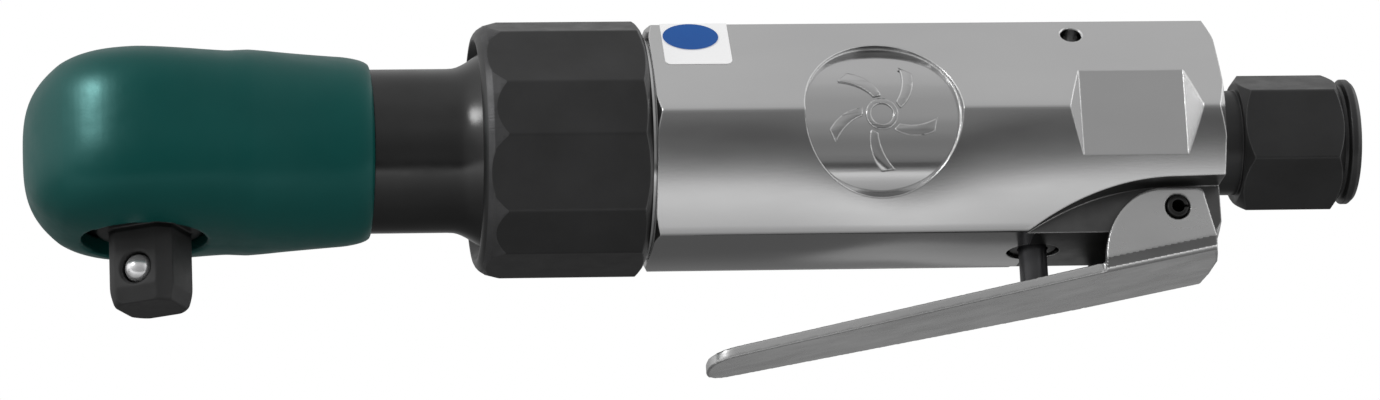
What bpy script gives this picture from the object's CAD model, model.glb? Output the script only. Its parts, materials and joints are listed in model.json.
"""Air ratchet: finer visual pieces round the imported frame, procedural materials, plain studio.

Pieces are drawn in millimetres about the tool axis and turned into metres once, by place().
x runs along the tool, from the ratchet head (drive axis at x = 0) to the air inlet; -y is the
front and +z is up. The drive square points down and its end lies at height 0 in the frame."""

from math import atan2, cos, hypot, pi, radians, sin, sqrt, tan

import bmesh
import bpy
from mathutils import Matrix, Vector
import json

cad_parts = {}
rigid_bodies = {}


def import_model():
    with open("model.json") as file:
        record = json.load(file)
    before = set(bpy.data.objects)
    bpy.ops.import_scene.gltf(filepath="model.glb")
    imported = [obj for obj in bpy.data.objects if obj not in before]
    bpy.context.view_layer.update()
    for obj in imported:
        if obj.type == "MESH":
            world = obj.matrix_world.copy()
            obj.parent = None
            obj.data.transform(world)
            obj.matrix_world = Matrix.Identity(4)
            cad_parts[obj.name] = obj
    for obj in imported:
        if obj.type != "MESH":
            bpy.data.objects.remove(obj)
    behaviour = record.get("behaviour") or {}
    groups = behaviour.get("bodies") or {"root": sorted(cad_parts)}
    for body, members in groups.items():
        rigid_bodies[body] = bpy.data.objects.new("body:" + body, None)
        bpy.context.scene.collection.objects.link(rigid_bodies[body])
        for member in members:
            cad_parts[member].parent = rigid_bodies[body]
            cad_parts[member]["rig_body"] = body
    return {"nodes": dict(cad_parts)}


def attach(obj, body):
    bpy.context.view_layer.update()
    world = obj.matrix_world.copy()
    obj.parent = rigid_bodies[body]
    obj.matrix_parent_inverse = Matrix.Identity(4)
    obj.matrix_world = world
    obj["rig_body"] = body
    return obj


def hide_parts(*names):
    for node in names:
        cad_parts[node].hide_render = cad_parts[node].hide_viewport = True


for old in list(bpy.data.objects):
    bpy.data.objects.remove(old, do_unlink=True)

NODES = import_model()["nodes"]

MM = 0.001
AXIS_H = 29.4     # height of the tool axis
GAP = 0.3         # clearance between boot and forging

# ------------------------------------------------------------------ outlines and sections

# where a station s along the axis and a section point (u, v) lie in space
ALONG = {
    "X": lambda s, u, v: (s, u, v),
    "Y": lambda s, u, v: (u, s, v),
    "Z": lambda s, u, v: (u, v, s),
}


def section_point(radius, degrees):
    """A (y, z) point across the tool, its angle counted from the front (-y) upwards."""
    a = radians(degrees)
    return -radius * cos(a), radius * sin(a)


def broken_line(table, x):
    """The height of a broken line at x."""
    for (x0, y0), (x1, y1) in zip(table, table[1:]):
        if x <= x1:
            return y0 + (y1 - y0) * max(x - x0, 0.0) / (x1 - x0)
    return table[-1][1]


def corner_arc(corner, to_before, to_after, setback, steps=4):
    """Points of a short curve that replaces a corner; the directions are unit vectors."""
    start, end = corner + to_before * setback, corner + to_after * setback
    points = []
    for i in range(steps + 1):
        t = i / steps
        point = start * (1 - t) ** 2 + corner * 2 * t * (1 - t) + end * t * t
        points.append((point.x, point.y))
    return points


def rounded(profile, radius):
    """Rounds the inner corners of an open (s, r) line."""
    out = [profile[0]]
    for before, corner, after in zip(profile, profile[1:], profile[2:]):
        corner = Vector(corner)
        u, v = Vector(before) - corner, Vector(after) - corner
        u_len, v_len = u.length, v.length
        u, v = u / u_len, v / v_len
        setback = min(radius / tan(u.angle(v) / 2), u_len * 0.45, v_len * 0.45)
        out += corner_arc(corner, u, v, setback)
    out.append(profile[-1])
    return out


def filleted(outline, radius, steps=4, angle=14):
    """Rounds the corners of a closed outline; corners gentler than the angle stay."""
    out = []
    count = len(outline)
    for i in range(count):
        corner = Vector(outline[i])
        u, v = Vector(outline[i - 1]) - corner, Vector(outline[(i + 1) % count]) - corner
        u_len, v_len = u.length, v.length
        bend = pi - u.angle(v)
        if bend < radians(angle):
            out.append((corner.x, corner.y))
            continue
        setback = min(radius * tan(bend / 2), u_len * 0.45, v_len * 0.45)
        out += corner_arc(corner, u / u_len, v / v_len, setback, steps)
    return out


# ------------------------------------------------------------------ solids

def bridge(bm, loops):
    """Faces between neighbouring loops of equal length."""
    for a, b in zip(loops, loops[1:]):
        for i in range(len(a)):
            j = (i + 1) % len(a)
            bm.faces.new((a[i], a[j], b[j], b[i]))


def add_loops(bm, loops):
    return [[bm.verts.new(point) for point in loop] for loop in loops]


def skin(loops, clockwise=False):
    """A solid through a stack of loops, capped at both ends."""
    bm = bmesh.new()
    loops = add_loops(bm, loops)
    turn = -1 if clockwise else 1
    bm.faces.new(loops[0][::-turn])
    bm.faces.new(loops[-1][::turn])
    bridge(bm, loops)
    return bm


def prism(outline, s0, s1, axis="X"):
    return skin([[ALONG[axis](s, u, v) for u, v in outline] for s in (s0, s1)])


def lathe(profile, axis="X", at=(0, 0), segments=96, phase=0.013):
    """Turns an (s, r) profile; one that starts off the axis is closed into a ring."""
    bm = bmesh.new()
    to = ALONG[axis]
    turns = [phase + 2 * pi * i / segments for i in range(segments)]
    rings = []
    for s, r in profile:
        if r < 1e-6:
            rings.append([bm.verts.new(to(s, at[0], at[1]))])
        else:
            rings.append([bm.verts.new(to(s, at[0] + r * cos(a), at[1] + r * sin(a)))
                          for a in turns])
    pairs = list(zip(rings, rings[1:]))
    if profile[0][1] > 1e-6:
        pairs.append((rings[-1], rings[0]))
    for a, b in pairs:
        for i in range(segments):
            j = (i + 1) % segments
            face = [a[i % len(a)], a[j % len(a)], b[j % len(b)], b[i % len(b)]]
            face = [v for k, v in enumerate(face) if v not in face[:k]]
            if len(face) > 2:
                bm.faces.new(face)
    return bm


def rod(s0, s1, r, axis="X", at=(0, 0), segments=64):
    return lathe([(s0, 0), (s0, r), (s1, r), (s1, 0)], axis, at, segments, phase=0.07)


def ring(s0, s1, r_in, r_out, axis, at, segments):
    return lathe([(s0, r_in), (s0, r_out), (s1, r_out), (s1, r_in)], axis, at, segments)


def block(x, y, z):
    return prism([(y[0], z[0]), (y[1], z[0]), (y[1], z[1]), (y[0], z[1])], x[0], x[1])


# ------------------------------------------------------------------ objects

def new_object(name, bm):
    bmesh.ops.remove_doubles(bm, verts=bm.verts, dist=1e-4)
    bmesh.ops.recalc_face_normals(bm, faces=bm.faces)
    mesh = bpy.data.meshes.new(name)
    bm.to_mesh(mesh)
    bm.free()
    obj = bpy.data.objects.new(name, mesh)
    bpy.context.scene.collection.objects.link(obj)
    return obj


def bake(obj):
    """Applies the object's modifiers."""
    bpy.context.view_layer.update()
    graph = bpy.context.evaluated_depsgraph_get()
    mesh = bpy.data.meshes.new_from_object(obj.evaluated_get(graph))
    obj.modifiers.clear()
    obj.data = mesh


def boolean(obj, other, operation):
    """Combines an object with a solid or with another object, which is used up."""
    tool = new_object("tool", other) if isinstance(other, bmesh.types.BMesh) else other
    modifier = obj.modifiers.new("b", "BOOLEAN")
    modifier.operation, modifier.object, modifier.solver = operation, tool, "EXACT"
    bake(obj)
    bpy.data.objects.remove(tool, do_unlink=True)


def cut(obj, *solids):
    for solid in solids:
        boolean(obj, solid, "DIFFERENCE")


def join(obj, *solids):
    for solid in solids:
        boolean(obj, solid, "UNION")


def keep_within(obj, solid):
    boolean(obj, solid, "INTERSECT")


def bevel(obj, width, segments, angle):
    modifier = obj.modifiers.new("v", "BEVEL")
    modifier.width, modifier.segments = width, segments
    modifier.limit_method, modifier.angle_limit = "ANGLE", radians(angle)
    modifier.use_clamp_overlap = False
    modifier.miter_outer = "MITER_ARC"
    bake(obj)


def soften(obj, voxel, smooth=3):
    """One closed skin with slightly rounded edges, for moulded and tumbled pieces."""
    remesh = obj.modifiers.new("r", "REMESH")
    remesh.mode, remesh.voxel_size, remesh.use_smooth_shade = "VOXEL", voxel, True
    smoothing = obj.modifiers.new("s", "SMOOTH")
    smoothing.factor, smoothing.iterations = 0.5, smooth
    bake(obj)


def place(obj, stands_for=None, *, material, body=None, sharp=None, even=False):
    """Turns a piece drawn in millimetres into the frame, shades it and lets it ride."""
    obj.data.transform(Matrix.Translation((0, 0, AXIS_H * MM)) @ Matrix.Scale(MM, 4))
    obj.data.shade_smooth()
    if sharp is not None:
        obj.data.set_sharp_from_angle(angle=radians(sharp))
    obj.data.materials.clear()
    obj.data.materials.append(material)
    if even:
        modifier = obj.modifiers.new("even_faces", "WEIGHTED_NORMAL")
        modifier.mode, modifier.weight, modifier.keep_sharp = "FACE_AREA", 90, True
    if stands_for:
        body = NODES[stands_for]["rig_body"]
    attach(obj, body)
    if stands_for:
        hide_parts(stands_for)


def drawn(point):
    """A placed point back in millimetres about the tool axis."""
    return point.x / MM, point.y / MM, point.z / MM - AXIS_H


def repaint(obj, material, picks):
    """Adds a material for the faces that picks(x, y, z, normal) chooses by their centres."""
    obj.data.materials.append(material)
    index = len(obj.data.materials) - 1
    for face in obj.data.polygons:
        if picks(*drawn(face.center), face.normal):
            face.material_index = index


# ------------------------------------------------------------------ shader nodes

def feed(tree, node, inputs):
    """Sets a node's inputs; each is a value or the output socket to link."""
    for key, value in inputs.items():
        if isinstance(value, bpy.types.NodeSocket):
            tree.links.new(value, node.inputs[key])
        else:
            node.inputs[key].default_value = value


def add_node(tree, kind, inputs=None, **settings):
    node = tree.nodes.new("ShaderNode" + kind)
    for key, value in settings.items():
        setattr(node, key, value)
    feed(tree, node, inputs or {})
    return node


def finish(name, tone, tone_2, tone_scale, tone_mix, rough, grain, grain_depth, edge_width,
           metal=1.0, specular=0.5, rough_spread=0.08, rough_scale=250.0, stretch=(1, 1, 1),
           edge=None, edge_mix=0.8, turning_depth=0.0, wave_depth=0.0, wave_scale=18.0,
           more=None):
    """A finish from nodes only: two tones mixed by noise, roughness that wanders, a fine grain
    in the bump, softened edges and, where asked, worn edges in their own tone, broad waves and
    turning marks. Depths and edge_width are in millimetres; grain and the scales are noise
    scales; more holds other shader inputs."""
    made = bpy.data.materials.new(name)
    made.use_nodes = True
    made.diffuse_color = (*tone, 1)
    tree = made.node_tree
    bsdf = tree.nodes["Principled BSDF"]
    place_at = add_node(tree, "TexCoord").outputs["Object"]
    stretched = add_node(tree, "Mapping", {"Scale": stretch, "Vector": place_at}).outputs["Vector"]

    def noise(scale, detail=3.0, roughness=0.55, vector=stretched):
        return add_node(tree, "TexNoise", {"Scale": scale, "Detail": detail,
                                           "Roughness": roughness, "Vector": vector}).outputs["Fac"]

    def span(value, low, high, to_low, to_high):
        return add_node(tree, "MapRange", {"From Min": low, "From Max": high, "To Min": to_low,
                                           "To Max": to_high, "Value": value}).outputs["Result"]

    def blend(factor, a, b):
        a, b = ((*c, 1) if isinstance(c, tuple) else c for c in (a, b))
        return add_node(tree, "Mix", {0: factor, 6: a, 7: b}, data_type="RGBA").outputs[2]

    def math(operation, *values):
        return add_node(tree, "Math", dict(enumerate(values)), operation=operation).outputs[0]

    def bumped(below, depth, height):
        return add_node(tree, "Bump", {"Strength": 1.0, "Distance": depth * MM, "Height": height,
                                       "Normal": below}).outputs["Normal"]

    color = blend(span(noise(tone_scale, 5.0), 0.35, 0.65, 0.0, tone_mix), tone, tone_2)
    normal = add_node(tree, "Bevel", {"Radius": edge_width * MM}, samples=4).outputs["Normal"]
    if edge:
        # an edge is where the rounded normal leaves the true one
        true_normal = add_node(tree, "NewGeometry").outputs["Normal"]
        dot = add_node(tree, "VectorMath", {0: normal, 1: true_normal}, operation="DOT_PRODUCT")
        worn = span(dot.outputs["Value"], 0.995, 0.93, 0.0, edge_mix)
        color = blend(math("MULTIPLY", worn, span(noise(180.0, 4.0), 0.3, 0.6, 0.35, 1.0)),
                      color, edge)
    wander = span(noise(rough_scale, 4.0), 0.3, 0.7,
                  max(rough - rough_spread, 0.02), rough + rough_spread)
    if wave_depth:
        normal = bumped(normal, wave_depth, noise(wave_scale, 1.0))
    if turning_depth:
        # fine rings about the tool axis, as turning leaves them
        split = add_node(tree, "SeparateXYZ", {0: place_at}).outputs
        above_axis = math("SUBTRACT", split["Z"], AXIS_H * MM)
        around = math("ARCTAN2", above_axis, split["Y"])
        along_axis = math("MULTIPLY", split["X"], 1.0)
        rolled = add_node(tree, "CombineXYZ", {"X": along_axis, "Y": around}).outputs[0]
        rings = add_node(tree, "Mapping", {"Scale": (40.0, 36.0, 1.0), "Vector": rolled})
        normal = bumped(normal, turning_depth, noise(2.0, 3.0, 0.7, rings.outputs["Vector"]))
    feed(tree, bsdf, {"Base Color": color, "Roughness": wander, "Metallic": metal,
                      "Specular IOR Level": specular, "Coat Roughness": 0.25,
                      "Normal": bumped(normal, grain_depth, noise(grain)), **(more or {})})
    return made


# ------------------------------------------------------------------ materials

RUBBER = finish(
    "boot_rubber", tone=(0.0018, 0.067, 0.059), tone_2=(0.0024, 0.080, 0.070), tone_scale=45,
    tone_mix=0.6, rough=0.36, rough_spread=0.05, metal=0.0, grain=2600, grain_depth=0.008,
    edge_width=0.5, specular=0.42, more={"Specular Tint": (0.42, 1.0, 0.97, 1)})
BLACK = finish(
    "black_phosphate", tone=(0.020, 0.020, 0.021), tone_2=(0.030, 0.030, 0.031), tone_scale=70,
    tone_mix=0.7, rough=0.33, rough_spread=0.07, metal=0.6, grain=2200, grain_depth=0.006,
    edge=(0.13, 0.13, 0.135), edge_mix=0.7, edge_width=0.30)
NECK_BLACK = finish(
    "black_neck", tone=(0.058, 0.058, 0.058), tone_2=(0.072, 0.072, 0.072), tone_scale=70,
    tone_mix=0.7, rough=0.22, rough_spread=0.04, grain=1800, grain_depth=0.003, edge_width=0.4)
NUT_BLACK = finish(
    "black_nut", tone=(0.037, 0.037, 0.0372), tone_2=(0.052, 0.052, 0.053), tone_scale=60,
    tone_mix=0.8, rough=0.36, rough_spread=0.06, metal=0.55, grain=2400, grain_depth=0.008,
    edge=(0.20, 0.20, 0.202), edge_mix=0.6, edge_width=0.35)
TURNED = finish(
    "turned_face", tone=(0.13, 0.13, 0.132), tone_2=(0.07, 0.07, 0.072), tone_scale=80,
    tone_mix=0.9, rough=0.46, metal=0.9, grain=2000, grain_depth=0.004, turning_depth=0.05,
    edge_width=0.25)
ALLOY = finish(
    "housing_alloy", tone=(0.62, 0.62, 0.62), tone_2=(0.57, 0.57, 0.572), tone_scale=40,
    tone_mix=0.8, rough=0.145, rough_spread=0.022, rough_scale=120, grain=2600,
    grain_depth=0.0016, stretch=(0.35, 1, 1), edge=(0.90, 0.90, 0.90), edge_mix=0.9,
    edge_width=0.40, wave_depth=0.012, wave_scale=16)
ALLOY_DARK = finish(
    "housing_milled", tone=(0.17, 0.17, 0.17), tone_2=(0.11, 0.11, 0.11), tone_scale=90,
    tone_mix=0.9, rough=0.38, rough_spread=0.06, grain=1600, grain_depth=0.010,
    edge=(0.7, 0.7, 0.7), edge_width=0.35)
LEVER = finish(
    "lever_steel", tone=(0.61, 0.61, 0.61), tone_2=(0.53, 0.53, 0.53), tone_scale=70,
    tone_mix=0.9, rough=0.25, rough_spread=0.06, metal=0.80, grain=1500, grain_depth=0.004,
    stretch=(0.4, 1, 1), edge=(0.85, 0.85, 0.85), edge_width=0.35)
LEVER_SHADE = finish(
    "lever_steel_dull", tone=(0.27, 0.27, 0.27), tone_2=(0.20, 0.20, 0.20), tone_scale=70,
    tone_mix=0.9, rough=0.34, rough_spread=0.06, metal=0.85, grain=1500, grain_depth=0.004,
    stretch=(0.4, 1, 1), edge=(0.8, 0.8, 0.8), edge_mix=0.6, edge_width=0.3)
LEVER_EDGE = finish(
    "lever_steel_worn", tone=(0.92, 0.92, 0.92), tone_2=(0.84, 0.84, 0.84), tone_scale=70,
    tone_mix=0.9, rough=0.14, rough_spread=0.04, metal=0.9, grain=1500, grain_depth=0.003,
    edge_width=0.3)
BRIGHT = finish(
    "bright_steel", tone=(0.46, 0.46, 0.47), tone_2=(0.36, 0.36, 0.37), tone_scale=90,
    tone_mix=0.7, rough=0.28, grain=1500, grain_depth=0.004, edge=(0.7, 0.7, 0.7),
    edge_width=0.2)
DARK = finish(
    "dark_steel", tone=(0.10, 0.10, 0.105), tone_2=(0.14, 0.14, 0.145), tone_scale=90,
    tone_mix=0.7, rough=0.36, metal=0.9, grain=1500, grain_depth=0.006,
    edge=(0.35, 0.35, 0.35), edge_width=0.2)
PIN_BLACK = finish(
    "pin_black", tone=(0.016, 0.016, 0.016), tone_2=(0.028, 0.028, 0.028), tone_scale=150,
    tone_mix=0.8, rough=0.36, metal=0.5, grain=2400, grain_depth=0.008,
    edge=(0.10, 0.10, 0.10), edge_mix=0.6, edge_width=0.25)
SOOT = finish(
    "pin_bore", tone=(0.004, 0.004, 0.004), tone_2=(0.008, 0.008, 0.008), tone_scale=150,
    tone_mix=0.8, rough=0.92, metal=0.0, grain=2400, grain_depth=0.02, edge_width=0.05,
    specular=0.0)
DRIVE_BLACK = finish(
    "drive_black", tone=(0.036, 0.036, 0.036), tone_2=(0.050, 0.050, 0.051), tone_scale=120,
    tone_mix=0.8, rough=0.50, rough_spread=0.07, metal=0.3, specular=0.3, grain=2200,
    grain_depth=0.006, edge=(0.30, 0.30, 0.30), edge_width=0.35)
CHROME = finish(
    "ball_chrome", tone=(0.92, 0.92, 0.93), tone_2=(0.86, 0.86, 0.87), tone_scale=200,
    tone_mix=0.5, rough=0.24, rough_spread=0.03, metal=0.75, grain=2600, grain_depth=0.0008,
    edge_width=0.1)
BRASS = finish(
    "brass", tone=(0.62, 0.44, 0.16), tone_2=(0.52, 0.35, 0.12), tone_scale=90, tone_mix=0.8,
    rough=0.30, grain=1500, grain_depth=0.004, edge=(0.85, 0.66, 0.32), edge_width=0.2)
SEAL = finish(
    "seal", tone=(0.012, 0.012, 0.012), tone_2=(0.02, 0.02, 0.02), tone_scale=120,
    tone_mix=0.7, rough=0.55, metal=0.0, grain=2600, grain_depth=0.012, edge_width=0.1)
RESIN = finish(
    "vane_resin", tone=(0.10, 0.045, 0.018), tone_2=(0.16, 0.08, 0.035), tone_scale=60,
    tone_mix=0.9, rough=0.55, metal=0.0, grain=900, grain_depth=0.015, stretch=(0.2, 1, 1),
    edge_width=0.1)
WIRE = finish(
    "spring_wire", tone=(0.33, 0.33, 0.34), tone_2=(0.25, 0.25, 0.26), tone_scale=150,
    tone_mix=0.7, rough=0.30, grain=1800, grain_depth=0.003, edge_width=0.05)
PAPER = finish(
    "label_white", tone=(0.93, 0.93, 0.93), tone_2=(0.88, 0.88, 0.89), tone_scale=50,
    tone_mix=0.6, rough=0.38, rough_spread=0.04, metal=0.0, grain=2200, grain_depth=0.003,
    edge_width=0.05, more={"Emission Color": (1, 1, 1, 1), "Emission Strength": 0.22})
INK = finish(
    "label_blue", tone=(0.012, 0.12, 0.46), tone_2=(0.011, 0.10, 0.40), tone_scale=50,
    tone_mix=0.6, specular=0.25, rough=0.36, rough_spread=0.04, metal=0.0, grain=2200,
    grain_depth=0.003, edge_width=0.05)

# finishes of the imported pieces; the rest are BLACK
PACKED_FINISHES = [
    (BRIGHT, "alignment_pin crankshaft drive_bushing pawl_pin planet_carrier planet_pin_1 "
             "planet_pin_2 planet_pin_3 plunger rotor"),
    (DARK, "crank_bearing cylinder front_end_plate rear_end_plate pawl planet_gear_1 "
           "planet_gear_2 planet_gear_3 ratchet_yoke ring_gear"),
    (BRASS, "crank_thrust_washer inlet_screen valve_head valve_seat"),
    (CHROME, "front_bearing_inner front_bearing_outer rear_bearing_inner rear_bearing_outer"),
    (WIRE, "detent_spring plunger_spring spindle_retaining_ring valve_spring"),
    (SOOT, "spindle_thrust_washer"),
    (PIN_BLACK, "valve_bushing"),
    (SEAL, "valve_o_ring"),
    (RESIN, "vane_1 vane_2 vane_3 vane_4 vane_5"),
]
finish_of = {name: made for made, names in PACKED_FINISHES for name in names.split()}
for name, node in NODES.items():
    node.data.materials.clear()
    node.data.materials.append(finish_of.get(name, BLACK))

# ------------------------------------------------------------------ boot and ratchet head

HEAD_R = 22.7                             # round nose seen from above
BOOT_HALF_T, BOOT_WALL, BOOT_END_X = 15.9, 2.0, 40.3
HEAD_POWER, POWER_DROP = 3.2, 1.1         # squareness of the section and its loss rearwards
TAPER_LEN, TAPER_HALF_W, TAPER_RISE = 36.0, 17.3, 0.75
ROUND_X, ROUND_DROP = 35.0, 1.7           # rounding of the boot's rear end
NECK_R, NECK_END_X, COLLAR_R = 15.0, 54.4, 18.6
SLOT_HALF_H = 6.2                         # the opening inside the forging

# (x, extra half height): the moulding is fuller over the head and again at its rear step
SWELL = [
    (-23.0, 0.35), (-20.0, 0.45), (-18.0, 0.65), (-16.0, 1.05), (-13.0, 1.2), (-9.0, 1.28),
    (-2.0, 1.3), (5.6, 1.0), (10.0, 0.85), (14.0, 0.8), (18.0, 1.25), (21.0, 1.2),
    (24.3, 1.05), (28.0, 0.9), (31.5, 0.72), (37.0, 0.38), (42.0, 0.35),
]


def head_section(x, inset, swell):
    """Half width, half height and superellipse power of the head at x."""
    if x < 0:
        u = min(-x / HEAD_R, 1.0)
        wide = sqrt(max(HEAD_R ** 2 - x * x, 0.0))
        tall = BOOT_HALF_T * max(1 - u ** HEAD_POWER, 0.0) ** (1 / 3.0)
        power = HEAD_POWER
    else:
        u = min(x / TAPER_LEN, 1.0)
        ease = u * u * (3 - 2 * u)
        wide = HEAD_R + (TAPER_HALF_W - HEAD_R) * ease
        tall = BOOT_HALF_T + TAPER_RISE * ease
        power = HEAD_POWER - POWER_DROP * ease
        if x > ROUND_X:
            t = min((x - ROUND_X) / (BOOT_END_X - ROUND_X), 1.0)
            drop = ROUND_DROP * (1 - sqrt(max(1 - t * t, 0.0)))
            wide, tall = wide - drop, tall - drop
            power = 2.1 - 0.1 * t
    if swell:
        extra = broken_line(SWELL, x)
        wide, tall = wide + 0.17 + 0.5 * extra, tall + extra
    return max(wide - inset, 0.05), max(tall - inset, 0.05), power


def section_points(x, inset, count, swell):
    wide, tall, power = head_section(x, inset, swell)
    points = []
    for i in range(count):
        a = 2 * pi * i / count
        c, s = cos(a), sin(a)
        points.append((wide * abs(c) ** (2 / power) * (1 if c >= 0 else -1),
                       tall * abs(s) ** (2 / power) * (1 if s >= 0 else -1)))
    return points


def head_loft(inset, x_end, count=120, nose=26, step=1.2, swell=False):
    """The head shape from its nose to x_end; count points round, nose stations before x = 0."""
    bm = bmesh.new()
    r = HEAD_R - inset
    stations = [-r * cos(pi / 2 * (k + 0.2) / nose) for k in range(nose)]
    x = 0.0
    while x < min(x_end, 34.5):
        stations.append(x)
        x += step
    if x_end > ROUND_X:
        stations += [ROUND_X + (x_end - ROUND_X) * sin(pi / 2 * k / 9) for k in range(9)]
    stations.append(x_end)
    loops = []
    for x in sorted(set(stations)):
        source_x = x * HEAD_R / r if x < 0 else x
        loops.append([(x, y, z) for y, z in section_points(source_x, inset, count, swell)])
    loops = add_loops(bm, loops)
    nose_point = bm.verts.new((-r, 0, 0))
    for i in range(count):
        bm.faces.new((nose_point, loops[0][(i + 1) % count], loops[0][i]))
    bridge(bm, loops)
    bm.faces.new(loops[-1])
    return bm


boot = new_object("boot_skin", head_loft(0.0, BOOT_END_X, swell=True))
cut(boot,
    head_loft(BOOT_WALL, 33.0),
    rod(30.0, BOOT_END_X + 2, NECK_R + GAP),            # mouth round the neck
    rod(-20.0, -8.0, 11.4, "Z", (-1.1, 0)),             # lower opening, round the drive
    rod(8.0, 20.0, 10.4, "Z"))                          # upper opening, round the knob
soften(boot, 0.36, smooth=5)
place(boot, "head_boot", material=RUBBER)

# (x, r) of the neck, its flare and the collar
NECK_LINE = [
    (20.0, 0), (20.0, 11.5), (29.0, 13.8), (32.0, NECK_R), (NECK_END_X, NECK_R),
    (55.5, 15.06), (56.3, 15.25), (57.1, 15.58), (57.9, 16.0), (58.7, 16.5), (59.5, 17.05),
    (60.3, 17.65), (60.9, 18.15), (61.3, COLLAR_R), (62.2, COLLAR_R), (62.3, COLLAR_R + 1.3),
    (68.0, COLLAR_R + 1.3), (68.0, 0),
]
head = new_object("head_forging",
                  head_loft(BOOT_WALL + GAP, 30.0, count=72, nose=12, step=3.0))
join(head, lathe(NECK_LINE, segments=128))
cut(head,
    rod(-SLOT_HALF_H, SLOT_HALF_H, 16.3, "Z"),                           # round chamber
    block((1.0, 28.0), (-12.7, 12.7), (-SLOT_HALF_H, SLOT_HALF_H)),      # slot behind it
    rod(-20.0, 20.0, 9.9 + 0.35, "Z"),                                   # spindle bore
    rod(11.05, 20.0, 11.9, "Z"),                                         # its upper recess
    rod(24.0, 69.0, 6.4),                                                # bores in the neck
    rod(39.4, 57.0, 8.4),
    rod(61.6, 69.0, 15.6))
place(head, "ratchet_housing", material=NECK_BLACK, sharp=30)
repaint(head, PIN_BLACK, lambda x, y, z, normal: x < 26.0)

# ------------------------------------------------------------------ clamp nut

NUT_X0, NUT_X1, NUT_R = 59.4, 90.2, 23.5
NUT_CORNER, NUT_PHASE = 17.5, 32.0       # half angle of a cut corner, angle of the first
NUT_BORE_R = 20.3

# (x, r) outside: rounded front end, chamfered rear end
NUT_ENVELOPE = [
    (NUT_X0, 0), (NUT_X0, 20.7), (59.45, 21.05), (59.75, 21.6), (60.2, 22.1), (60.8, 22.5),
    (61.15, 22.68), (61.25, 22.80), (62.5, 23.12), (63.4, 23.36), (64.2, 23.55),
    (64.8, NUT_R + 1), (NUT_X1 - 1.9, NUT_R + 1), (NUT_X1 - 1.6, NUT_R + 0.1),
    (NUT_X1 - 0.5, NUT_R - 1.3), (NUT_X1, NUT_R - 2.4), (NUT_X1, 0),
]
# (x, r) inside: a mouth that narrows to a lip, then the bore
NUT_BORE = [
    (NUT_X0 - 1, 0), (NUT_X0 - 1, 21.4), (NUT_X0, 20.3), (60.0, 19.85), (60.7, 19.45),
    (61.4, 19.1), (62.0, 18.95), (62.0, NUT_BORE_R), (NUT_X1 + 1, NUT_BORE_R), (NUT_X1 + 1, 0),
]
nut_outline = [section_point(NUT_R, NUT_PHASE + 60 * k + s * NUT_CORNER)
               for k in range(6) for s in (-1, 1)]
nut = new_object("clamp_nut_body", prism(filleted(nut_outline, 1.3), NUT_X0, NUT_X1))
keep_within(nut, lathe(NUT_ENVELOPE, segments=144))
cut(nut, lathe(NUT_BORE, segments=128))
place(nut, "clamp_nut", material=NUT_BLACK, sharp=24, even=True)
repaint(nut, TURNED, lambda x, y, z, normal:
        normal.x < -0.16 and 60.3 < x < 65.2 and hypot(y, z) > 21.6)

# ------------------------------------------------------------------ motor housing

CASE_X0, CASE_X1, HEX_R = 90.9, 195.4, 23.4
HEX_A = HEX_R * cos(radians(30))
CROWN = 0.55                 # how far a facet bulges at its middle
FACE_STEPS, CASE_STATIONS = 14, 42
WRENCH_X, WRENCH_LEN, WRENCH_Y, WRENCH_RUN = 178.7, 19.4, 19.15, 4.4
BADGE_X, BADGE_R, BADGE_FLOOR_R = 132.2, 14.5, 19.6
VALVE_X, PIN_X, PIN_Z = 161.9, 186.9, -16.3
TONGUE = 10.7                # half width left between the two ear recesses
RECESS_X, RECESS_RUN, RECESS_Z, RECESS_RISE = 157.5, 29.5, -21.3, 9.65


def facet_ends(k):
    """Corners of facet k across the case, and its outward direction."""
    start, end = (Vector(section_point(HEX_R, 60 * i)) for i in (k, k + 1))
    return start, end, (start + end).normalized()


def facet_point(k, t, lift=0.0):
    """A point of the crowned hexagon: facet k from its corner at t=0 to the next at t=1."""
    start, end, out = facet_ends(k)
    p = start.lerp(end, t) + out * (CROWN * (1 - (2 * t - 1) ** 2) - CROWN * 0.25 + lift)
    return p.x, p.y


# (x, z) of the sloping, curved roof over the lever's ears
RECESS_ROOF = [(RECESS_X, RECESS_Z)]
for k in range(1, 25):
    t = k / 24
    RECESS_ROOF.append((RECESS_X + RECESS_RUN * t,
                        RECESS_Z + RECESS_RISE * (1 - (1 - t) ** 2.1)))
RECESS_ROOF.append((200.0, -11.4))
recess_line = [(RECESS_X, -26.0)] + RECESS_ROOF + [(200.0, -26.0)]


def wrench_pocket(side):
    """A flat milled across the front (side -1) or back corner, with sloping ends."""
    half = WRENCH_LEN / 2
    top = half + WRENCH_RUN
    return prism([(WRENCH_X - half, side * WRENCH_Y), (WRENCH_X + half, side * WRENCH_Y),
                  (WRENCH_X + top, side * 26.0), (WRENCH_X - top, side * 26.0)], -9.5, 9.5, "Z")


outline = [facet_point(k, i / FACE_STEPS) for k in range(6) for i in range(FACE_STEPS)]
case_line = filleted(outline, 0.9, 5, 25)
housing = new_object("motor_case", skin([
    [(CASE_X0 + (CASE_X1 - CASE_X0) * i / CASE_STATIONS, y, z) for y, z in case_line]
    for i in range(CASE_STATIONS + 1)]))
# (x, r) of the chamfered ends
CASE_ENVELOPE = [
    (CASE_X0, 0), (CASE_X0, 21.8), (CASE_X0 + 1.0, HEX_R + 0.2), (CASE_X0 + 1.1, HEX_R + 1.2),
    (CASE_X1 - 1.6, HEX_R + 1.2), (CASE_X1 - 1.6, HEX_R + 0.2), (CASE_X1, 21.3), (CASE_X1, 0),
]
keep_within(housing, lathe(CASE_ENVELOPE, segments=144, phase=0.0031))

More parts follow.
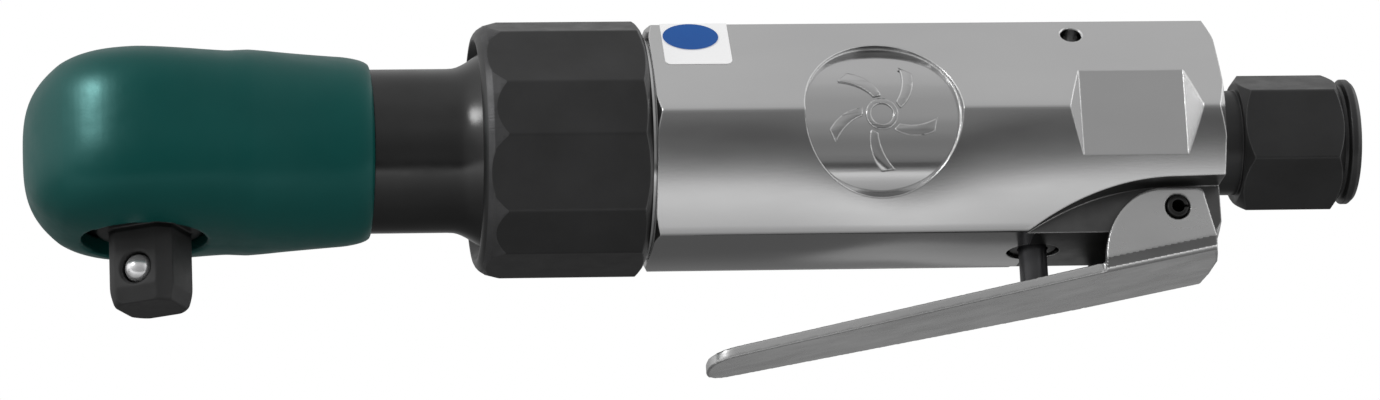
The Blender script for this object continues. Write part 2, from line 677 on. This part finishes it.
# round badge recess at the front corner, with a floor curved about the tool axis
badge_line = [(-30.0, 0), (-30.0, BADGE_R), (-12.0, BADGE_R), (-12.0, 0)]
badge = new_object("badge_tool", lathe(badge_line, "Y", (BADGE_X, 0), 96))
cut(badge, rod(BADGE_X - 20, BADGE_X + 20, BADGE_FLOOR_R, segments=160))
cut(housing, badge)
cut(housing, wrench_pocket(-1), wrench_pocket(1),
    prism(recess_line, -30.0, -TONGUE, "Y"),
    prism(recess_line, TONGUE, 30.0, "Y"))

# spigot that reaches into the clamp nut
SPIGOT = [(68.3, 0), (68.3, 19.35), (68.9, 19.95), (CASE_X0 + 3, 19.95), (CASE_X0 + 3, 0)]
join(housing, lathe(SPIGOT, segments=128))

# blind hole with a flared mouth, square to the upper front facet and above its middle
HOLE_X, HOLE_UP = 169.1, 7.7
HOLE_LINE = [(-6.5, 0), (-6.5, 1.85), (-0.15, 1.85), (0.45, 2.35), (4.0, 5.0), (4.0, 0)]
flat_y, flat_z = cos(radians(30)), sin(radians(30))
hole_at = Vector((HOLE_X, -HEX_A * flat_y + HOLE_UP * flat_z, HEX_A * flat_z + HOLE_UP * flat_y))
facet_hole = lathe(HOLE_LINE, "Z", segments=48)
bmesh.ops.transform(facet_hole, verts=facet_hole.verts,
                    matrix=Matrix.Translation(hole_at) @ Matrix.Rotation(radians(60), 4, "X"))

MOTOR_BORE = [(67.3, 0), (67.3, 18.5), (82.0, 18.5), (82.0, 16.3), (148.3, 16.3), (148.3, 0)]
REAR_BORE = [
    (164.0, 0), (164.0, 3.2), (178.0, 3.2), (178.0, 7.4), (194.6, 7.4), (CASE_X1 + 1, 9.0),
    (CASE_X1 + 1, 0),
]
cut(housing,
    lathe(MOTOR_BORE),
    lathe(REAR_BORE),
    rod(-24.0, 11.2, 4.9, "Z", (VALVE_X, 0), 72),               # valve bore
    rod(147.0, 160.0, 2.2, "X", (0, -9.0), 32),                 # two narrow bores behind
    rod(147.0, 154.0, 1.5, "X", (0, -13.9), 32),                # the motor bore
    rod(-13.0, 13.0, 2.3, "Y", (PIN_X, PIN_Z), 48),             # lever pin hole
    facet_hole)
place(housing, "motor_housing", material=ALLOY, sharp=24)


def on_facet(y, z):
    """Nearest facet to a section point: its number, place along it (0 to 1), outward
    direction, height from the axis and direction along it."""
    best = None
    for k in range(6):
        start, end, out = facet_ends(k)
        high = Vector((y, z)).dot(out)
        if best is None or high > best[3]:
            along_facet = (end - start).normalized()
            t = (Vector((y, z)) - start).dot(along_facet) / HEX_R
            best = (k, t, out, high, along_facet)
    return best


def on_case(x, y, z, normal):
    """Whether a face belongs to the outer skin of the crowned hexagon."""
    _, t, _, high, _ = on_facet(y, z)
    level = HEX_A - CROWN * 0.25 + CROWN * (1 - (2 * t - 1) ** 2)
    return (abs(normal.x) < 0.02 and CASE_X0 - 0.01 < x < CASE_X1 + 0.01
            and abs(high - level) < 0.35
            and Vector((normal.y, normal.z)).dot(Vector((y, z)).normalized()) > 0.8)


def case_normal(x, y, z):
    """Normal of the crowned, hand-polished case: it leans a little where polishing round the
    badge recess and towards the rear has taken the facet down."""
    k, t, out, _, along_facet = on_facet(y, z)
    lean = (radians(2.1) * 2.718 ** (-((x - 136.0) / 13.0) ** 2)
            - radians(0.6) * min(max((x - 155.0) / 25.0, 0.0), 1.0))
    side = 1.0 if k % 2 else -1.0
    inside = min(max(t, 0.0), 1.0)
    normal = (out - along_facet * (CROWN * -4 * (2 * inside - 1) / HEX_R)
              + along_facet * (side * tan(lean))).normalized()
    edge = 0.024        # share of the facet, at each end, that turns towards the corner
    if t < edge or t > 1 - edge:
        to_corner = t if t < 0.5 else 1 - t
        weight = min(max((edge - to_corner) / edge, 0.0), 1.0)
        corner = Vector(section_point(1.0, 60 * k if t < 0.5 else 60 * (k + 1)))
        normal = (normal * (1 - weight) + corner * weight).normalized()
    return 0.0, normal.x, normal.y


def milled(x, y, z, normal):
    """The bottom facet's rear end, and the walls and roofs of the ear recesses."""
    if normal.z < -0.95 and x > 160.5:
        return True
    if x <= 157.4 or abs(y) <= TONGUE - 0.05 or z >= -11.0 or on_case(x, y, z, normal):
        return False
    return abs(abs(y) - TONGUE) < 0.05 or abs(z - broken_line(RECESS_ROOF, x)) < 0.3


mesh = housing.data
normals = [tuple(corner.vector) for corner in mesh.corner_normals]
for face in mesh.polygons:
    if on_case(*drawn(face.center), face.normal):
        for i in face.loop_indices:
            normals[i] = case_normal(*drawn(mesh.vertices[mesh.loops[i].vertex_index].co))
repaint(housing, ALLOY_DARK, milled)
mesh.normals_split_custom_set(normals)

# badge sign: a small ring and five curved blades on the recess floor
BLADE_R, BLADE_LEN = 3.6, 6.6                # inner radius and radial length
BLADE_SWEEP, BLADE_W, BLADE_NARROW = 0.62, 0.42, 0.16    # angles, in radians


def blade(start):
    line = []
    for i in range(13):
        t = i / 12
        a, r = start + BLADE_SWEEP * t, BLADE_R + BLADE_LEN * t
        line.append((BADGE_X + r * cos(a), r * sin(a)))
    for i in range(12, -1, -1):
        t = i / 12
        a, r = start + BLADE_SWEEP * t + BLADE_W - BLADE_NARROW * t, BLADE_R + BLADE_LEN * t
        line.append((BADGE_X + r * cos(a), r * sin(a)))
    return prism(line, -25.0, -14.0, "Y")


sign = new_object("badge_sign", ring(-25.0, -14.0, 2.0, 3.0, "Y", (BADGE_X, 0), 48))
join(sign, *[blade(2 * pi * k / 5 + 0.3) for k in range(5)])
keep_within(sign, ring(BADGE_X - 18, BADGE_X + 18, BADGE_FLOOR_R - 0.3, BADGE_FLOOR_R + 0.42,
                       "X", (0, 0), 200))
bevel(sign, width=0.16, segments=2, angle=40)
place(sign, body="housing", material=ALLOY, sharp=30)

# ------------------------------------------------------------------ label

# The label bends round the corner between facets 0 (upper front) and 1 (top). Its outlines
# are (x, t): t runs 0 to 1 over facet 0 and 1 to 2 over facet 1.


def clip(points, keep_low):
    """The part of an (x, t) outline on one side of t = 1."""
    out = []
    for i, q in enumerate(points):
        p = points[i - 1]
        inside_p, inside_q = (p[1] <= 1.0) == keep_low, (q[1] <= 1.0) == keep_low
        if inside_p != inside_q:
            share = (1.0 - p[1]) / (q[1] - p[1])
            out.append((p[0] + (q[0] - p[0]) * share, 1.0))
        if inside_q:
            out.append(q)
    return out


def sheet(name, outline_xt, lift, thick):
    """Thin pieces, one per facet reached, lifted off the facets."""
    parts = []
    for facet in (0, 1):
        line = clip(outline_xt, facet == 0)
        if len(line) < 3:
            continue
        bm = bmesh.new()
        loops = add_loops(bm, [
            [(x, *facet_point(facet, min(max(t - facet, 0.0), 1.0), height)) for x, t in line]
            for height in (lift, lift + thick)])
        for loop in loops:
            bm.faces.new(loop)
        bridge(bm, loops)
        parts.append(new_object(f"{name}_{len(parts) + 1}", bm))
    return parts


def round_box(x0, x1, t0, t1, rx, rt, steps=8):
    points = []
    for cx, ct, start in ((x1 - rx, t1 - rt, 0), (x0 + rx, t1 - rt, 90),
                          (x0 + rx, t0 + rt, 180), (x1 - rx, t0 + rt, 270)):
        for i in range(steps + 1):
            a = radians(start + 90 * i / steps)
            points.append((cx + rx * cos(a), ct + rt * sin(a)))
    return points


LABEL_CORNER = 1.1
label_line = round_box(93.3, 105.6, 0.50, 1.30, LABEL_CORNER, LABEL_CORNER / HEX_R)
disc_line = [(98.6 + 5.1 * cos(2 * pi * i / 80), 0.832 + 0.160 * sin(2 * pi * i / 80))
             for i in range(80)]
for part in sheet("label_sheet", label_line, lift=0.03, thick=0.10):
    place(part, body="housing", material=PAPER, sharp=30)
for part in sheet("label_disc", disc_line, lift=0.135, thick=0.03):
    place(part, body="housing", material=INK, sharp=30)

# ------------------------------------------------------------------ drive spindle

SQUARE, SQUARE_CORNER, SQUARE_TURN = 12.7, 15.1, -28.0    # across flats, across corners, turn
SPINDLE_R = 9.9
BALL_R, BALL_Z, BALL_OUT = 2.6, -23.0, 0.95               # BALL_OUT: how far it stands out
ball_dir = Vector((sin(radians(SQUARE_TURN)), -cos(radians(SQUARE_TURN)), 0))
ball_angle = atan2(ball_dir.y, ball_dir.x)

# (height above the lower end, largest reach from the axis)
END_ROUND = [
    (0.0, 6.2), (0.12, 6.5), (0.35, 6.75), (0.8, 7.0), (1.5, 7.2), (2.4, 7.4), (3.4, 7.52),
    (4.2, 9.0), (30.0, 9.0),
]
SQUARE_HEIGHTS = [0.0, 0.12, 0.35, 0.8, 1.5, 2.4, 2.9, 3.4, 4.2, 8.0, 12.0, 16.0, AXIS_H - 12.0]


def drive_square(count=180):
    """The square with rounded corners, tapered and rounded towards its lower end."""
    bm = bmesh.new()
    loops = []
    for height in SQUARE_HEIGHTS:
        half = SQUARE / 2 - 0.75 * max(0.0, 1 - height / 2.9)
        loop = []
        for i in range(count):
            t = 2 * pi * (i + 0.5) / count
            reach = min(half / max(abs(cos(t)), abs(sin(t))), SQUARE_CORNER / 2,
                        broken_line(END_ROUND, height))
            loop.append((reach * cos(t + ball_angle), reach * sin(t + ball_angle),
                         height - AXIS_H))
        loops.append(loop)
    loops = add_loops(bm, loops)
    bridge(bm, loops)
    bm.faces.new(loops[0][::-1])
    bm.faces.new(loops[-1])
    return bm


# (distance from the axis, r) of the hole for the ball, flared at the flat
BALL_HOLE = [
    (-1.5, 0), (-1.5, BALL_R + 0.25), (5.95, BALL_R + 0.25), (6.3, BALL_R + 0.55),
    (6.6, BALL_R + 0.75), (10.0, BALL_R + 0.75), (10.0, 0),
]
# (z, r) of the round body, with a groove near its upper end
SPINDLE_LINE = [
    (-15.0, 0), (-15.0, 9.1), (-14.85, 9.5), (-14.6, 9.8), (-14.2, SPINDLE_R),
    (10.9, SPINDLE_R), (10.9, 6.0), (12.5, 6.0), (12.5, 5.1), (13.6, 5.1), (13.6, 6.0),
    (14.4, 6.0), (14.4, 0),
]
ball_hole = lathe(BALL_HOLE, segments=72)
bmesh.ops.transform(ball_hole, verts=ball_hole.verts,
                    matrix=(Matrix.Translation((0, 0, BALL_Z))
                            @ Matrix.Rotation(ball_angle, 4, "Z")))
spindle = new_object("drive_anvil", lathe(SPINDLE_LINE, "Z"))
join(spindle, drive_square())
cut(spindle,
    ball_hole,
    rod(-5.2, 16.0, 3.7, "Z"),                              # central bore from above
    block((-12.0, -4.9), (-8.2, 8.2), (-3.9, 3.9)),         # slot on the nose side
    block((-6.0, 1.0), (-3.4, 3.4), (-1.7, 1.7)),           # window from slot to bore
    rod(-6.9, 6.9, 1.5, "Z", (-7.4, 0), 32))                # upright hole through the slot
soften(spindle, 0.19)
place(spindle, "drive_spindle", material=DRIVE_BLACK)
repaint(spindle, PIN_BLACK, lambda x, y, z, normal: z > -16.0)

# detent ball
centre = ball_dir * (SQUARE / 2 + BALL_OUT - BALL_R) + Vector((0, 0, BALL_Z))
ball = bmesh.new()
bmesh.ops.create_uvsphere(ball, u_segments=64, v_segments=40, radius=BALL_R)
bmesh.ops.translate(ball, vec=centre, verts=ball.verts)
place(new_object("detent_ball_steel", ball), "detent_ball", material=CHROME)

# ------------------------------------------------------------------ reverse knob

KNOB_GROOVES, KNOB_GROOVE_AT, KNOB_GROOVE_R = 24, 9.15, 0.42
KNOB_EDGE_R = 0.6
BAR_HALF, BAR_R = 4.9, 2.2                    # the bar across the top
# (z, r): stem, then the dial with its rounded rim and sunken top
knob_line = [(-4.6, 0), (-4.6, 3.4), (14.7, 3.4), (14.7, 9.0)]
knob_line += [(15.3 + KNOB_EDGE_R * sin(radians(a)), 8.4 + KNOB_EDGE_R * cos(radians(a)))
              for a in (0, 22, 45, 67, 90)]
knob_line += [(15.9, 7.6), (15.6, 7.2), (15.6, 0)]
knob = new_object("reverse_dial", lathe(knob_line, "Z"))
for k in range(KNOB_GROOVES):
    a = 2 * pi * k / KNOB_GROOVES
    cut(knob, rod(14.0, 17.0, KNOB_GROOVE_R, "Z",
                  (KNOB_GROOVE_AT * cos(a), KNOB_GROOVE_AT * sin(a)), 12))
bar = [(BAR_HALF + BAR_R * cos(radians(a)), BAR_R * sin(radians(a))) for a in range(-90, 91, 12)]
bar += [(-x, -y) for x, y in bar]
join(knob, prism(bar, 15.0, 17.2, "Z"))
cut(knob, rod(-6.0, 2.2, 1.45, segments=24))          # cross hole in the stem
soften(knob, 0.16)
place(knob, "reverse_knob", material=BLACK)

# ------------------------------------------------------------------ throttle lever

SLOPE = 11.3                              # degrees; the underside drops towards the tip
LEVER_T, UNDER_Z = 1.9, -25.45            # sheet thickness; underside height at the pin
TIP_X, TIP_LEN, TIP_HALF_W = 100.4, 6.0, 7.2
PADDLE_HALF_W, EAR_Y, END_X = 11.9, 13.3, 195.9
BEND_R, EAR_LEAN = 1.15, 25.0             # bends and the lean, in degrees, of the lower ears
THICK = LEVER_T / cos(radians(SLOPE))     # upright thickness


def under(x):
    """Height of the underside at x."""
    return UNDER_Z - tan(radians(SLOPE)) * (PIN_X - x)


def channel(x0, x1):
    """The bent part in section: flat web, rounded bends and two ears, swept on the slope."""
    foot, ear_top = EAR_Y - 1.80, 16.0
    half = [(0.0, 0.0)]
    for i in range(9):
        a = radians(-90 + (90 - EAR_LEAN) * i / 8)
        half.append((foot + BEND_R * cos(a), BEND_R + BEND_R * sin(a)))
    y, z = half[-1]
    knee = z + (EAR_Y - y) / tan(radians(EAR_LEAN))
    half += [(EAR_Y, knee), (EAR_Y, ear_top), (EAR_Y - 2.0, ear_top), (EAR_Y - 2.0, knee + 0.3),
             (foot + 0.1, LEVER_T + 0.5), (foot - 0.6, LEVER_T), (0.0, LEVER_T)]
    line = half + [(-y, z) for y, z in reversed(half[1:-1])]
    return skin([[(x, y, under(x) + z / cos(radians(SLOPE))) for y, z in line]
                 for x in (x0, x1)], clockwise=True)


# paddle seen from above: rounded tip, then straight to the ears
plan = []
for k in range(33):
    a = pi / 2 + pi * k / 32
    plan.append((TIP_X + TIP_LEN - TIP_LEN * abs(cos(a)) ** 0.85,
                 TIP_HALF_W * (abs(sin(a)) ** 0.85) * (1 if k < 16 else -1)))
plan += [(172.4, -PADDLE_HALF_W), (175.5, -PADDLE_HALF_W + 1.6),
         (175.5, PADDLE_HALF_W - 1.6), (172.4, PADDLE_HALF_W)]
lever = new_object("throttle_paddle", skin(
    [[(x, y, under(x) + rise) for x, y in plan] for rise in (0.0, THICK)], clockwise=True))

# ears from the side, (x, z): an elliptical front edge, a rounded top, a step at the rear
side = [(193.4, under(193.4) - 3.0), (173.3, under(173.3) - 3.0), (173.1, under(173.1) + 0.5)]
for k in range(25):
    a = radians(180 - 90 * k / 24)
    side.append((184.3 + 11.2 * cos(a), -26.6 + 14.0 * sin(a)))
side += [
    (190.9, -12.6), (191.4, -12.7), (191.8, -13.1), (192.0, -13.6), (193.7, -21.0),
    (193.8, -21.5), (END_X, -21.6), (END_X, under(END_X) - 3.0),
]
# ears from above, (x, y): a rear end that bows outwards
END_PLAN = [
    (150.0, -20.0), (193.8, -20.0), (193.9, -EAR_Y), (194.1, -11.4), (194.9, -8.0),
    (END_X, -2.5), (END_X, 6.0), (195.6, 9.5), (195.3, 11.8), (195.0, EAR_Y), (195.0, 20.0),
    (150.0, 20.0),
]
ears = new_object("ears", channel(172.6, 197.0))
keep_within(ears, prism(side, -20.0, 20.0, "Y"))
keep_within(ears, prism(END_PLAN, -60.0, 0.0, "Z"))
join(lever, ears)
cut(lever, rod(-16.0, 16.0, 2.3, "Y", (PIN_X, PIN_Z), 48))
soften(lever, 0.24)
place(lever, "throttle_lever", material=LEVER)


def slants(normal, low, high):
    """Whether a normal, seen along the tool, is between two angles, in degrees, from up."""
    return radians(low) < atan2(abs(normal.y), normal.z) < radians(high)


def dull(x, y, z, normal):
    """Faces that look up, and the leaning outer faces of the ears."""
    return normal.z > 0.55 or (slants(normal, 103, 121) and x > 173.0 and abs(y) > 11.8)


def worn_bend(x, y, z, normal):
    return (not dull(x, y, z, normal) and slants(normal, 119, 136)
            and x > 173.0 and normal.z < 0)


repaint(lever, LEVER_SHADE, dull)
repaint(lever, LEVER_EDGE, worn_bend)

# pin through the ears, slit along its length; (y, r), open at r = 1.2
PIN_LINE = [
    (-13.9, 1.2), (-13.9, 1.55), (-13.75, 1.85), (-13.45, 2.0), (13.45, 2.0), (13.75, 1.85),
    (13.9, 1.55), (13.9, 1.2),
]
pin = new_object("roll_pin", lathe(PIN_LINE, "Y", (PIN_X, PIN_Z), 64))
cut(pin, block((PIN_X + 0.6, PIN_X + 3), (-16, 16), (PIN_Z - 0.25, PIN_Z + 0.25)))
place(pin, "lever_pin", material=PIN_BLACK, sharp=30)
repaint(pin, SOOT, lambda x, y, z, normal: hypot(x - PIN_X, z - PIN_Z) < 1.3)

# valve pin with a domed foot just above the paddle; (z, r)
PLUNGER_R = 2.6
foot = under(VALVE_X) + THICK + 0.7
plunger_line = [(foot, 0)]
plunger_line += [(foot + 1.1 * (1 - cos(radians(a))), PLUNGER_R * sin(radians(a)) ** 0.8)
                 for a in (25, 45, 60, 75, 90)]
plunger_line += [(-10.2, PLUNGER_R), (-9.8, 1.6), (-1.9, 1.6), (-1.9, 0)]
place(new_object("valve_plunger", lathe(plunger_line, "Z", (VALVE_X, 0), 64)), "valve_pin",
      material=DARK, sharp=30)

# ------------------------------------------------------------------ air inlet

INLET_FLATS, INLET_BORE, INLET_END = 22.8, 5.7, 223.0
INLET_HEX_X0, INLET_HEX_X1 = 201.0, 219.9
THREAD_PITCH, THREAD_DEPTH, THREAD_CREST = 1.41, 0.62, INLET_BORE - 0.1

inlet_hex = [section_point(INLET_FLATS / 2 / cos(radians(30)), 30 + 60 * k) for k in range(6)]
inlet = new_object("inlet_fitting", prism(filleted(inlet_hex, 0.7), INLET_HEX_X0, INLET_HEX_X1))
# (x, r) of the chamfered hexagon
keep_within(inlet, lathe([
    (INLET_HEX_X0, 0), (INLET_HEX_X0, 11.0), (203.0, 13.6), (218.0, 13.6),
    (INLET_HEX_X1, 11.1), (INLET_HEX_X1, 0)], segments=120))
# (x, r) of the round part: stem in the housing, shoulder, end collar
INLET_NECK = [
    (180.4, 0), (180.4, 6.5), (181.0, 7.1), (195.8, 7.1), (195.8, 9.7), (202.0, 9.7),
    (202.0, 10.4), (220.7, 10.4), (221.1, 11.6), (222.2, 11.6), (INLET_END, 10.9),
    (INLET_END, 0),
]
join(inlet, lathe(rounded(INLET_NECK, 0.22), segments=120))

# bore with a thread drawn as separate grooves
bore = [(179.0, 0), (179.0, 4.2), (207.5, 4.2), (207.5, THREAD_CREST)]
x = 208.4
while x < 221.0:
    bore += [(x, THREAD_CREST), (x + 0.55, INLET_BORE + THREAD_DEPTH),
             (x + 0.75, INLET_BORE + THREAD_DEPTH), (x + 1.3, THREAD_CREST)]
    x += THREAD_PITCH
bore += [(222.0, INLET_BORE), (INLET_END + 0.4, INLET_BORE + 1.4), (INLET_END + 0.4, 0)]
cut(inlet, lathe(bore))
place(inlet, "inlet_bushing", material=NUT_BLACK, sharp=24, even=True)

# ------------------------------------------------------------------ camera

CAMERA_BELOW, CAMERA_ASIDE, CAMERA_ROLL = radians(17.13), radians(7.09), radians(0.64)
CAMERA_DIST, CAMERA_AIM_X, CAMERA_SHIFT_UP = 1176.42, 99.23, -9.47     # millimetres

# the camera stands in front, lower than the tool and towards its head end
toward = Vector((0, -cos(CAMERA_BELOW), -sin(CAMERA_BELOW)))
up = Vector((0, -sin(CAMERA_BELOW), cos(CAMERA_BELOW)))
along = Vector((1, 0, 0))
right = along * cos(CAMERA_ASIDE) + toward * sin(CAMERA_ASIDE)
back = toward * cos(CAMERA_ASIDE) - along * sin(CAMERA_ASIDE)
rolled_right = right * cos(CAMERA_ROLL) - up * sin(CAMERA_ROLL)
rolled_up = right * sin(CAMERA_ROLL) + up * cos(CAMERA_ROLL)
spot = (Vector((CAMERA_AIM_X, 0, 0)) + back * CAMERA_DIST + up * CAMERA_SHIFT_UP
        + Vector((0, 0, AXIS_H)))

cam_data = bpy.data.cameras.new("camera")
cam = bpy.data.objects.new("camera", cam_data)
bpy.context.scene.collection.objects.link(cam)
cam.matrix_world = (Matrix.Translation(spot * MM)
                    @ Matrix((rolled_right, rolled_up, back)).transposed().to_4x4())
cam_data.sensor_fit = "HORIZONTAL"
cam_data.sensor_width = 36.0
cam_data.lens = 166.95
cam_data.clip_start = 0.05
cam_data.clip_end = 20.0
bpy.context.scene.camera = cam

# ------------------------------------------------------------------ floor

FLOOR_HALF, FLOOR_X, FLOOR_Z = 1.6, 0.1, -0.0142     # metres

floor_bm = bmesh.new()
bmesh.ops.create_grid(floor_bm, x_segments=12, y_segments=12, size=FLOOR_HALF)
bmesh.ops.translate(floor_bm, vec=(FLOOR_X, 0, FLOOR_Z), verts=floor_bm.verts)
mesh = bpy.data.meshes.new("floor")
floor_bm.to_mesh(mesh)
floor_bm.free()
floor = bpy.data.objects.new("floor", mesh)
bpy.context.scene.collection.objects.link(floor)

# pale from above, and clear from below so that a low camera looks past it
paint = bpy.data.materials.new("floor_pale")
paint.use_nodes = True
tree = paint.node_tree
pale = tree.nodes["Principled BSDF"]
feed(tree, pale, {"Base Color": (0.86, 0.86, 0.86, 1), "Roughness": 0.7,
                  "Emission Color": (1, 1, 1, 1), "Emission Strength": 0.42})
clear = add_node(tree, "BsdfTransparent")
from_below = add_node(tree, "NewGeometry").outputs["Backfacing"]
two_sided = add_node(tree, "MixShader", {0: from_below, 1: pale.outputs[0], 2: clear.outputs[0]})
feed(tree, tree.nodes["Material Output"], {"Surface": two_sided.outputs[0]})
mesh.materials.append(paint)
floor.visible_glossy = False
floor.visible_diffuse = False
floor.visible_shadow = False

# ------------------------------------------------------------------ surroundings

# White to the eye. For light and reflections, (degrees, brightness) bands that turn with the
# angle round the tool's long axis: 0 straight up, 90 the front, 180 straight down, 270 the back.
BANDS = [
    (0, 0.66), (18, 0.66), (32, 0.62), (45, 0.52), (58, 0.46), (73, 0.45), (88, 0.34),
    (103, 0.26), (116, 0.28), (121.5, 0.25), (125.5, 0.07), (129.5, 0.15), (132.5, 0.32),
    (135.5, 1.08), (139, 0.86), (143.5, 0.64), (150, 0.52), (165, 0.36), (180, 0.28),
    (200, 0.20), (230, 0.13), (252, 0.11), (264, 0.18), (275, 0.32), (300, 0.45),
    (330, 0.60), (360, 0.66),
]
# (x of the direction, strength): brighter towards both ends of the tool
END_GAIN = [
    (-1.0, 2.0), (-0.75, 1.5), (-0.35, 1.05), (0.1, 1.0), (0.35, 0.9), (0.5, 1.05),
    (0.66, 1.8), (0.85, 2.0), (1.0, 2.0),
]


def grey_ramp(tree, source, table):
    """An eased ramp of (position, grey value) stops."""
    node = add_node(tree, "ValToRGB", {0: source})
    node.color_ramp.interpolation = "EASE"
    stops = node.color_ramp.elements
    while len(stops) > 1:
        stops.remove(stops[-1])
    for i, (position, value) in enumerate(table):
        stop = stops[0] if i == 0 else stops.new(position)
        stop.position = position
        stop.color = (value, value, value, 1)
    return node.outputs["Color"]


world = bpy.data.worlds.new("studio")
bpy.context.scene.world = world
world.use_nodes = True
tree = world.node_tree
tree.nodes.clear()


def world_math(operation, *values):
    return add_node(tree, "Math", dict(enumerate(values)), operation=operation).outputs[0]


seen = add_node(tree, "Background", {"Color": (1, 1, 1, 1), "Strength": 1.0})
direction = add_node(tree, "TexCoord").outputs["Generated"]
split = add_node(tree, "SeparateXYZ", {0: direction}).outputs
forward = world_math("MULTIPLY", split["Y"], -1.0)
around = world_math("ARCTAN2", forward, split["Z"])
turns = world_math("FRACT", world_math("DIVIDE", around, 2 * pi))
bands = grey_ramp(tree, turns, [(angle / 360, value) for angle, value in BANDS])
lengthwise = add_node(tree, "MapRange", {"From Min": -1.0, "From Max": 1.0, "Value": split["X"]})
# the gain is halved to stay within the ramp's colours, then doubled again
gain = grey_ramp(tree, lengthwise.outputs["Result"], [((x + 1) / 2, v / 2) for x, v in END_GAIN])
lit = add_node(tree, "Background", {"Color": bands, "Strength": world_math("MULTIPLY", gain, 2.0)})
to_camera = add_node(tree, "LightPath").outputs["Is Camera Ray"]
either = add_node(tree, "MixShader", {0: to_camera, 1: lit.outputs[0], 2: seen.outputs[0]})
add_node(tree, "OutputWorld", {"Surface": either.outputs[0]})

# ------------------------------------------------------------------ lights


def soft_light(name, aim, direction, distance, size, power):
    """A round area light that looks at aim (metres) from the given direction."""
    data = bpy.data.lights.new(name, "AREA")
    data.shape = "DISK"
    data.size = size
    data.energy = power
    lamp = bpy.data.objects.new(name, data)
    bpy.context.scene.collection.objects.link(lamp)
    direction = Vector(direction).normalized()
    lamp.location = Vector(aim) + direction * distance
    lamp.rotation_euler = direction.to_track_quat("Z", "Y").to_euler()
    lamp.visible_camera = False
    return lamp


HEAD_AIM, KEY_DIRECTION = (-0.011, -0.020, 0.034), (-0.75, -0.47, 0.47)
soft_light("key", HEAD_AIM, KEY_DIRECTION, distance=0.9, size=0.27, power=1.6)
# a faint card behind the tool that the paddle's underside mirrors
card = soft_light("card", (0.15, 0, -0.01), (0.26, 0.9445, -0.2008),
                  distance=0.9, size=0.28, power=0.036)
card.visible_diffuse = False
# a highlight on the boot alone
glint = soft_light("glint", HEAD_AIM, KEY_DIRECTION, distance=0.9, size=0.25, power=5.4)
glint.visible_diffuse = False
shine_on = bpy.data.collections.new("glint_on")
shine_on.objects.link(boot)
glint.light_linking.receiver_collection = shine_on

bpy.context.scene.view_settings.view_transform = "Standard"
bpy.context.scene.view_settings.look = "None"

bpy.context.view_layer.update()
